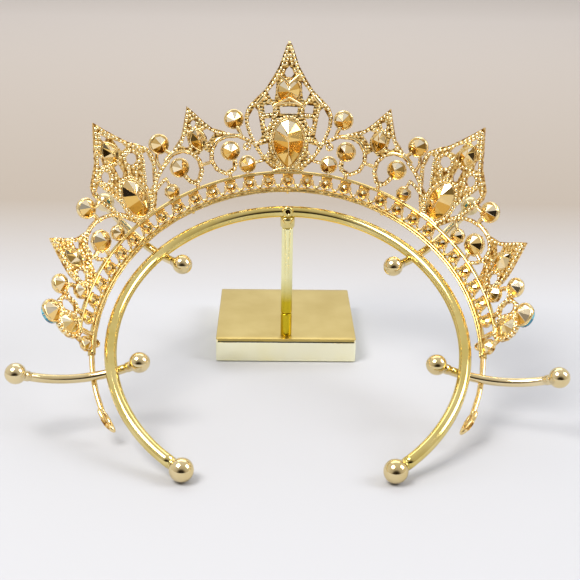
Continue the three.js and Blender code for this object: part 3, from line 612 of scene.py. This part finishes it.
def aqua_glass(name):
    """Pressed aqua glass, fire polished: clear colour under a hard gloss, with painted reflection that varies
    from facet to facet, paler where they face up.
    """
    material, tree, place = new_material(name)
    facet = add_node(tree, "ShaderNodeAttribute", {"attribute_name": "facet"}).outputs["Fac"]
    cloud = add_node(tree, "ShaderNodeTexNoise", Vector=place, Scale=per_mm(1.8), Detail=2)
    stops = [(0.1, "#0b5470"), (0.5, "#1f88a6"), (0.9, "#84d4de")]
    # Painted reflection: the colour follows the facet tone.
    colour = add_node(tree, "ShaderNodeValToRGB", stops=stops, Fac=facet)
    bump = add_node(tree, "ShaderNodeBump", Strength=0.04, Distance=0.05 * MM, Height=cloud.outputs["Fac"])
    surface = add_node(tree, "ShaderNodeBsdfPrincipled", Base_Color=colour.outputs["Color"], Roughness=0.04,
                       IOR=1.55, Coat_Weight=1.0, Coat_Roughness=0.02, Normal=bump.outputs["Normal"])
    add_node(tree, "ShaderNodeOutputMaterial", Surface=surface.outputs["BSDF"])
    return material


def painted_board(name, near, behind, far):
    """A matt painted board: cool white in front, passing to a darker, warmer tone behind the object and paler
    again farther off, that paler tone being painted light which makes up for the panels' light falling off
    with distance; with the faint relief of a roller."""
    material, tree, place = new_material(name)
    cloud = add_node(tree, "ShaderNodeTexNoise", Vector=place, Scale=per_mm(9), Detail=5)
    parts = add_node(tree, "ShaderNodeSeparateXYZ", Vector=place)
    back = add_node(tree, "ShaderNodeMapRange", Value=parts.outputs["Y"], From_Min=FLOOR["from"],
                    From_Max=FLOOR["to"])
    # The far stop is painted light, paler to make up for the light falling off with distance.
    stops = [(0.0, near), (0.16, behind), (1.0, far)]
    tone = add_node(tree, "ShaderNodeValToRGB", stops=stops, Fac=back.outputs["Result"])
    bump = add_node(tree, "ShaderNodeBump", Strength=0.1, Distance=0.3 * MM, Height=cloud.outputs["Fac"])
    surface = add_node(tree, "ShaderNodeBsdfPrincipled", Base_Color=tone.outputs["Color"], Roughness=0.8,
                       Normal=bump.outputs["Normal"])
    add_node(tree, "ShaderNodeOutputMaterial", Surface=surface.outputs["BSDF"])
    return material


BEADED_GOLD = warm_gold_plate("warm_gold_plated_milgrain", "#56320a", "#f4c86e", "#fff0c2", True)
PLAIN_GOLD = warm_gold_plate("warm_gold_plated_casting", "#eece8c", "#f8e0a6", "#fff6da")
RAIL_GOLD = warm_gold_plate("pale_gold_plated_band", "#d8bc74", "#e4cc8a", "#f4e4b0")
AMBER_GOLD = warm_gold_plate("amber_gold_plated_bars", "#dca448", "#eebe64", "#fadc94")
DEEP_GOLD = warm_gold_plate("deep_gold_plated_cups", "#f2c878", "#fadc9c", "#fff4d2")
CAST_GOLD = beaded_casting("warm_gold_plated_beaded_casting")
TUBE_GOLD = lemon_gold_plate("lemon_gold_plated_steel", 0.07, 0.13, "#d8c26c", "#e8d694")
ARM_GOLD = lemon_gold_plate("champagne_gold_plated_steel", 0.07, 0.13, "#dcc68c", "#ecdab0")
BLOCK_GOLD = lemon_gold_plate("lemon_gold_plated_block", 0.06, 0.12, "#fffad0", "#fffde4")
# The post's colour is painted light, darker near its foot and paler towards its top.
POST_GOLD = lemon_gold_plate("satin_lemon_gold_rod", 0.16, 0.24, "#ccb428", "#faf5bc", (18, 46))
SATIN_GOLD = lemon_gold_plate("satin_lemon_gold_plate", 0.28, 0.36, "#cbb267", "#d6c07a")
# Painted shade: a dark disc laid in the screw head's recess.
SCREW_RECESS_SHADE = lemon_gold_plate("painted_shade_in_screw_recess", 0.3, 0.4, "#2c1a0e", "#40281a")
FOIL = foiled_glass(
    "gold_foiled_glass",
    [(0.0, "#6b3f12"), (0.22, "#dca23e"), (0.5, "#f6ce78"), (0.72, "#feecc4"), (1.0, "#fffae8")],
)
COPPER_FOIL = foiled_glass(
    "copper_foiled_glass",
    [(0.0, "#8a5218"), (0.3, "#e2b25c"), (0.6, "#fae2a4"), (1.0, "#fff8e2")],
)
AQUA = aqua_glass("pressed_aqua_glass")


def each_motif():
    """Every motif on each side it appears on: its row, its angle and the sign of its x."""
    for row in MOTIFS.values():
        for sign in SIDES.values():
            yield row, sign * row["angle"], sign


def each_stone():
    """Every main stone once: its node's name, cut, half sizes, angle and place."""
    for row in MOTIFS.values():
        for name, cut, x, h, half, up, down in row["stones"]:
            if row["angle"] == 0 and x == 0:
                yield name, cut, half, up, down, 0.0, 0.0, h
                continue
            for side, sign in SIDES.items():
                yield f"{name}_{side}", cut, half, up, down, sign * row["angle"], sign * x, h


def flipped(points, sign):
    """The points of a wire with their x turned to one side."""
    return [(sign * x, h) for x, h in points]


def beaded_work():
    """All the beaded wires of the tiara, with the borders of the big pear and of the tall and end ovals."""
    grids, values, loops = [], [], []

    def add_loop(angle, width, path):
        """One closed beaded wire."""
        loops.append(len(grids))
        grid, swell = beaded_wire(angle, width, path, loop=True)
        grids.append(grid)
        values.append(swell)

    for row, angle, sign in each_motif():
        for width, points in row["beaded"]:
            grid, swell = beaded_wire(angle, width, flipped(points, sign))
            grids.append(grid)
            # The middles of the two ends are half full.
            values.append(np.concatenate([swell, [0.5, 0.5]]))
        for x, h, rx, rh, width in row["rings"]:
            add_loop(angle, width, oval_path(sign * x, h, rx, rh, 90))
    turn = np.arange(300) * TURN / 300
    for name, cut, half, up, down, angle, x, h in each_stone():
        if name.startswith(BORDER["stones"]):
            across, rise = stone_outline(cut, half, up, down, turn, BORDER["out"])
            add_loop(angle, BORDER["width"], np.stack([x + across, h + rise], -1))
    made("milgrain_wires", grids, BEADED_GOLD, loops=loops, values=np.concatenate(values))


def rail(h, half, deep, reach):
    """A plain rod that follows the band at one height: an ellipse carried round the cone."""
    along = np.linspace(-reach, reach, 220)
    turn = np.arange(10) * TURN / 10
    return on_crown(along[:, None], (h + half * np.cos(turn))[None], (deep * np.sin(turn))[None])


def plain_work():
    """The smooth rods: rails, stems, joints, the claws over the upper stone, the legs with their eyelets and
    the pegs under the band."""
    made("band_rails", [rail(*row) for row in RAILS], RAIL_GOLD)
    grids, loops = [], []
    for row, angle, sign in each_motif():
        for width, points in row["plain"]:
            path, _ = smooth_path(flipped(points, sign), 0.5)
            grids.append(wire(angle, path, width / 2, PLAIN_DEEP, 10))
        for points in row["straps"]:
            path, length = smooth_path(flipped(points, sign), 0.4)
            rise = STRAP["start"] - STRAP["fall"] * length / length[-1]
            grids.append(wire(angle, path, STRAP["half"], STRAP["deep"], 8, rise))
    for sign in SIDES.values():
        leg, _ = smooth_path([(0, 0), (sign * LEG["sweep"] * CROWN["radius"], 0)], 1.5)
        grids.append(wire(sign * LEG["start"], leg, LEG["half"], LEG["half"], 12))
        middle = sign * (EYELET["start"] * CROWN["radius"] + EYELET["half"])
        eye = oval_path(middle, 0, EYELET["half"], EYELET["rise"], 48)
        loops.append(len(grids))
        grids.append(wire(0, eye, EYELET["wire"], EYELET["wire"], 10, loop=True))
    peg = np.array([(0, height) for height in PEG["heights"]], float)
    for angle in PEG["places"]:
        grids.append(wire(angle, peg, PEG["half"], PEG["half"], 10))
    made("rails_and_stems", grids, PLAIN_GOLD, loops=loops)


def collets():
    """The settings: a rounded rim round every main stone, its section an ellipse that lies along the line
    from the stone's middle."""
    grids = []
    turn = np.arange(40) * TURN / 40
    section = np.arange(8) * TURN / 8
    for _, cut, half, up, down, angle, x, h in each_stone():
        across, rise = stone_outline(cut, half, up, down, turn, GAP + RIM["out"])
        spread = 1 + RIM["half"] * np.cos(section)[None] / np.hypot(across, rise)[:, None]
        depth = np.broadcast_to(RIM["deep"] * np.sin(section), spread.shape)
        local = np.stack([across[:, None] * spread, rise[:, None] * spread, depth], -1)
        grids.append(seated(angle, x, h, local)[:, ::-1])
    made("stone_collets", grids, PLAIN_GOLD, loops=range(len(grids)))


def set_stones():
    """The main stones: foiled pavilions that point backwards, copper foiled in the two end ovals, and aqua
    crowns with a flat table in front. The two end blues have a wider, rounder front."""
    foils = {"foiled_stone_backs": FOIL, "amber_foiled_backs": COPPER_FOIL}
    backs = {piece: [] for piece in foils}
    nodes = {piece: [] for piece in foils}
    fronts = []
    for name, cut, half, up, down, angle, x, h in each_stone():
        size = min(2 * half, up + down)
        deep = BACK["edge"] + BACK["round" if cut == "round" else "long"] * size
        keel = max(BACK["tip"], 1 - BACK["keel"] * half / (up + down))
        pavilion = [(1, 1, -LAP), (1, 1, BACK["edge"]), (BACK["tip"], keel, deep)]
        piece = "amber_foiled_backs" if name.startswith("end_oval") else "foiled_stone_backs"
        backs[piece].append(seated(angle, x, h, faceted(cut, half, up, down, pavilion, BACK["under"])))
        nodes[piece].append(name)
        blue = name.startswith("end_blue")
        seat = BLUE_FRONT if blue else FRONT
        rise = seat["crown"] * size
        crown = [(share, share, -seat["stand"] - height * rise) for share, height in CROWN_CUT]
        front = faceted("rim" if blue else cut, half, up, down, [*crown, (1, 1, LAP)], seat["grow"])
        fronts.append(seated(angle, x + seat["out"] * np.sign(angle), h, front))
    for piece, foil in foils.items():
        made(piece, backs[piece], foil, nodes[piece], smooth=False)
    made("aqua_stone_fronts", fronts, AQUA, smooth=False)


def gallery():
    """The row between the rails: at every step a small foiled stone in a turned cup, with a hanging swag of
    wire to the next and a short bar under the rail."""
    h, pitch, last = GALLERY["h"], GALLERY["pitch"], GALLERY["each_side"]
    gap = pitch * ring_at(h)
    cup = turned([(2.1, -0.9), (2.55, -0.7), (2.6, 0.6), (2.3, 1), (1.85, 0.7), (1.8, -0.5)], (0, 0, 0), 12)
    back = faceted("round", *3 * [GALLERY["back"]], [(1, 1, -0.4), (1, 1, -0.2), (0.05, 0.05, 0.9)])
    front = faceted("round", *3 * [GALLERY["front"]], [(0.55, 0.55, -1.15), (1, 1, -0.75), (1, 1, -0.1)])
    bar, _ = smooth_path([(-2.2, 6.05), (0, 6.3), (2.2, 6.05)], 0.6)
    swag, _ = smooth_path([(2.3, 4.6), (2.7, 2.6), (gap / 2, 1.5), (gap - 2.7, 2.6), (gap - 2.3, 4.6)], 0.5)
    places = pitch * np.arange(-last, last + 1)
    cups, backs, fronts = ([seated(angle, 0, h, shape) for angle in places] for shape in (cup, back, front))
    made("gallery_cups", cups, DEEP_GOLD, ["gallery_band"], loops=range(len(cups)))
    made("gallery_stone_backs", backs, COPPER_FOIL, smooth=False)
    made("gallery_stone_fronts", fronts, AQUA, smooth=False)
    swags = [wire(angle, swag, 0.5, 0.6) for angle in places[:-1]]
    made("gallery_swags", swags, PLAIN_GOLD)
    bars = [wire(angle, bar, 0.65, 1.3) for angle in places]
    made("gallery_bars", bars, AMBER_GOLD)


def ball_profile(ball, neck):
    """Radii of a ball end along its rod: lengths from the ball's middle, running out nearly to its pole."""
    pole = math.pi - 0.02
    along = -ball * np.cos(np.linspace(math.asin(neck / ball), pole, BALL_ROWS))
    return along, np.sqrt(np.clip(ball**2 - along**2, 0, None))


def ended_rod(length, rod, ball, collar, steps):
    """Lengths and radii of a rod with a ball on each end. The collar lists distances before the ball and
    the rod's fullness there."""
    before, fullness = np.array(collar).T
    ball_along, ball_radii = ball_profile(ball, rod * fullness[-1])
    end = np.concatenate([ball_along[0] - before, ball_along])
    end_radii = np.concatenate([rod * fullness, ball_radii])
    plain = np.linspace(-length / 2 - end[0], length / 2 + end[0], steps)[1:-1]
    along = np.concatenate([(-length / 2 - end)[::-1], plain, length / 2 + end])
    return along, np.concatenate([end_radii[::-1], np.full(len(plain), rod), end_radii])


def hoop_work():
    """The stand's bent tube with its socket, and in a paler gold its ball ends and the four arms welded
    under it."""
    radius = HOOP["radius"]
    drop = (HOOP["top"] - HOOP["ball"]) / (radius * math.sin(HOOP["tilt"]))
    end = math.acos(1 - drop)
    groove = [(1.15, 1), (1.05, 0.86), (0.65, 0.86), (0.55, 1), (0.1, 1)]
    along, radii = ended_rod(2 * end * radius, HOOP["tube"], HOOP["ball"], groove, 150)
    up_slope, sideways = np.array([0, radius, 0.0]), np.array([radius, 0.0, 0])
    bent = in_hoop(arc_tube(np.zeros(3), up_slope, sideways, along / radius, radii, 28))
    ends = [bent[:BALL_ROWS], bent[-BALL_ROWS:]]
    dip = ARM["bend"] - math.sqrt(ARM["bend"] ** 2 - ARM["low"] ** 2)
    lowest = ARM["weld"] - HOOP["tube"] - ARM["rod"] - dip
    reaches = -ARM["inner"], ARM["outer"]
    from_angle, to_angle = (math.acos((reach - ARM["low"]) / ARM["bend"]) for reach in reaches)
    length = abs(to_angle - from_angle) * ARM["bend"]
    collar = [(1.9, 1), (1.75, 1.15), (0.1, 1.15)]
    along, radii = ended_rod(length, ARM["rod"], ARM["ball"], collar, 40)
    angles = (from_angle + to_angle) / 2 + along / ARM["bend"]
    for sign in SIDES.values():
        for place in ARM_PLACES:
            radial = np.array([math.sin(sign * place), math.cos(place), 0])
            centre = radial * (radius + ARM["low"]) + np.array([0, 0, lowest + ARM["bend"]])
            first, second = radial * ARM["bend"], np.array([0, 0, -ARM["bend"]])
            ends.append(in_hoop(arc_tube(centre, first, second, angles, radii, 18)))
    foot = -HOOP["socket"]
    socket = [(2.7, foot), (3, foot + 0.3), (3, -2.6), (2.8, -2.2), (1.5, -1.8)]
    tube = [bent[BALL_ROWS - 1 : 1 - BALL_ROWS], turned(socket, (0, POST["y"], HOOP["top"]))]
    made("stand_tube", tube, TUBE_GOLD, ["stand_hoop"])
    made("stand_arms_and_balls", ends, ARM_GOLD, ["stand_hoop"])


def post_work():
    """The two lengths of post with eased ends, round a thinner core that shows as a groove between them, and
    the domed screw head on the near side of the tube, with a dark disc in its recess that is painted shade."""
    foot_low, foot_top = BASE["thick"] + GAP, BASE["thick"] + GAP + POST["foot"]
    top = HOOP["top"] - HOOP["socket"] - GAP
    r = POST["radius"]
    lengths = []
    for low, high in ((BASE["thick"] - POST["sunk"], foot_top), (foot_top + GAP, top)):
        profile = [(r - 0.4, low), (r - 0.1, low + 0.1), (r, low + 0.35), (r, low + 0.6), (r, high - 0.6),
                   (r, high - 0.35), (r - 0.1, high - 0.1), (r - 0.4, high)]
        lengths.append(turned(profile, (0, POST["y"], 0)))
    core = [(r - POST["groove"], foot_low), (r - POST["groove"], top + 1)]
    lengths.append(turned(core, (0, POST["y"], 0)))
    # The lengths carry painted light, darker at the foot and paler towards the top.
    made("stand_post_lengths", lengths, POST_GOLD, ["stand_post", "stand_post_foot"])
    head = [(2.1, -0.3), (2.3, 0), (2.25, 0.5), (1.9, 1), (1.3, 1.1), (1.05, 1), (0.95, 0.3), (0.2, 0.2)]
    middle = np.array([0, POST["y"] - HOOP["tube"] - GAP, HOOP["top"] + SCREW_RISE])
    made("stand_screw_head", [turned_back(head, middle)], TUBE_GOLD, ["stand_screw"])
    # A dark disc in the head's recess, coloured as painted shade.
    socket = [(0.85, 0.25), (0.97, 0.4), (0.1, 0.4)]
    made("stand_screw_recess_shade", [turned_back(socket, middle)], SCREW_RECESS_SHADE)


def stacked_square(profile):
    """The base's rounded square carried up a profile of insets and heights, its corners tightening as it is
    drawn in."""
    rings = []
    for inset, z in profile:
        ring = rounded_square(BASE["side"] / 2 - inset, max(BASE["corner"] - inset, BASE["tightest"]))
        rings.append(np.column_stack([ring, np.full(len(ring), z)]))
    return np.stack(rings)


def base_work():
    """The base: a bright block and a satin top plate, with a shadow line between them and at the foot."""
    thick = BASE["thick"]
    block = [(1.2, 0), (0.9, 0.1), (0.9, 0.35), (0.1, 0.45), (0, 0.55), (0, 0.75), (0, 8.4), (0, 9.6),
             (0.08, 9.68), (0.7, 9.72), (0.7, 10.2), (2, 10.25)]
    lid = [(2, 10.15), (0.12, 10.2), (0.02, 10.26), (0.02, 10.66), (0.1, 10.75), (0.3, thick), (3, thick)]
    made("base_block", [stacked_square(block)], BLOCK_GOLD, ["stand_base"])
    made("base_top_plate", [stacked_square(lid)], SATIN_GOLD, ["stand_base"])


def studio():
    """A wide pale floor, and soft light from panels and from a bright room that is dark only behind the
    camera, which gives the polished metal its dark lines. Lengths here are in metres."""
    half = FLOOR["half"]
    corners = [(-half, -half, 0), (half, -half, 0), (half, half, 0), (-half, half, 0)]
    mesh = bpy.data.meshes.new("floor")
    mesh.from_pydata(corners, [], [(0, 1, 2, 3)])
    mesh.materials.append(painted_board("matt_painted_floor", "#b8babf", "#a0968b", "#c8c1bc"))
    floor = bpy.data.objects.new("floor", mesh)
    bpy.context.scene.collection.objects.link(floor)

    # Each panel has its place, its two sizes, its power in watts and its colour.
    panels = [
        ("key_panel", (-0.6, -0.5, 1.2), (0.6, 0.6), 16.5, "#fffaf4"),
        ("fill_panel", (1.0, -0.2, 0.8), (0.5, 0.6), 7, "#f8f9ff"),
        ("back_panel", (0.0, 0.8, 1.1), (1.4, 0.8), 5, "#ffffff"),
    ]
    target = np.array([0, -0.06, 0.06])
    for name, place, size, power, colour in panels:
        data = bpy.data.lights.new(name, "AREA")
        data.shape, data.size, data.size_y = "RECTANGLE", *size
        data.energy = power
        data.color = linear(colour)[:3]
        lamp = bpy.data.objects.new(name, data)
        lamp.location = place
        aim = target - np.array(place)
        lamp.rotation_euler = (math.acos(-aim[2] / np.linalg.norm(aim)), 0, math.atan2(-aim[0], aim[1]))
        bpy.context.scene.collection.objects.link(lamp)

    world = bpy.data.worlds.new("studio_room")
    bpy.context.scene.world = world
    world.use_nodes = True
    tree = world.node_tree
    tree.nodes.clear()
    way = add_node(tree, "ShaderNodeTexCoord").outputs["Generated"]
    parts = add_node(tree, "ShaderNodeSeparateXYZ", Vector=way)
    depth = add_node(tree, "ShaderNodeMapRange", Value=parts.outputs["Y"], From_Min=-1.0, From_Max=1.0)
    stops = [(0.0, "#2a251f"), (0.05, "#453e36"), (0.14, "#cfc9c2"), (0.4, "#f3efeb"), (1.0, "#ffffff")]
    room = add_node(tree, "ShaderNodeValToRGB", stops=stops, Fac=depth.outputs["Result"])
    sky = add_node(tree, "ShaderNodeBackground", Color=room.outputs["Color"], Strength=0.85)
    add_node(tree, "ShaderNodeOutputWorld", Surface=sky.outputs["Background"])
    bpy.context.scene.view_settings.view_transform = "Standard"


def photo_camera():
    """The camera at the photograph's place and angle: it looks down by the pitch and aside by the yaw, and
    its frame is turned by the roll about that line."""
    pitch, yaw, roll = CAMERA["pitch"], CAMERA["yaw"], CAMERA["roll"]
    ahead = np.array([math.sin(yaw) * math.cos(pitch), math.cos(yaw) * math.cos(pitch), -math.sin(pitch)])
    right = np.array([math.cos(yaw), -math.sin(yaw), 0])
    up = np.cross(right, ahead)
    level = math.cos(roll) * right + math.sin(roll) * up
    rise = np.cross(-ahead, level)
    data = bpy.data.cameras.new("photo_camera")
    data.sensor_width = CAMERA["sensor"]
    data.lens = CAMERA["sensor"] * CAMERA["lens"] / CAMERA["frame"]
    camera = bpy.data.objects.new("photo_camera", data)
    matrix = np.eye(4)
    matrix[:3, 0], matrix[:3, 1], matrix[:3, 2] = level, rise, -ahead
    matrix[:3, 3] = np.array(CAMERA["place"]) * MM
    camera.matrix_world = Matrix(matrix.tolist())
    bpy.context.scene.collection.objects.link(camera)
    bpy.context.scene.camera = camera


# The solids' own frame of the tiara stays in view, with the finish of the casting.
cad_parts["tiara_frame"].data.materials.clear()
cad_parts["tiara_frame"].data.materials.append(CAST_GOLD)
beaded_work()
plain_work()
collets()
set_stones()
gallery()
hoop_work()
post_work()
base_work()
studio()
photo_camera()
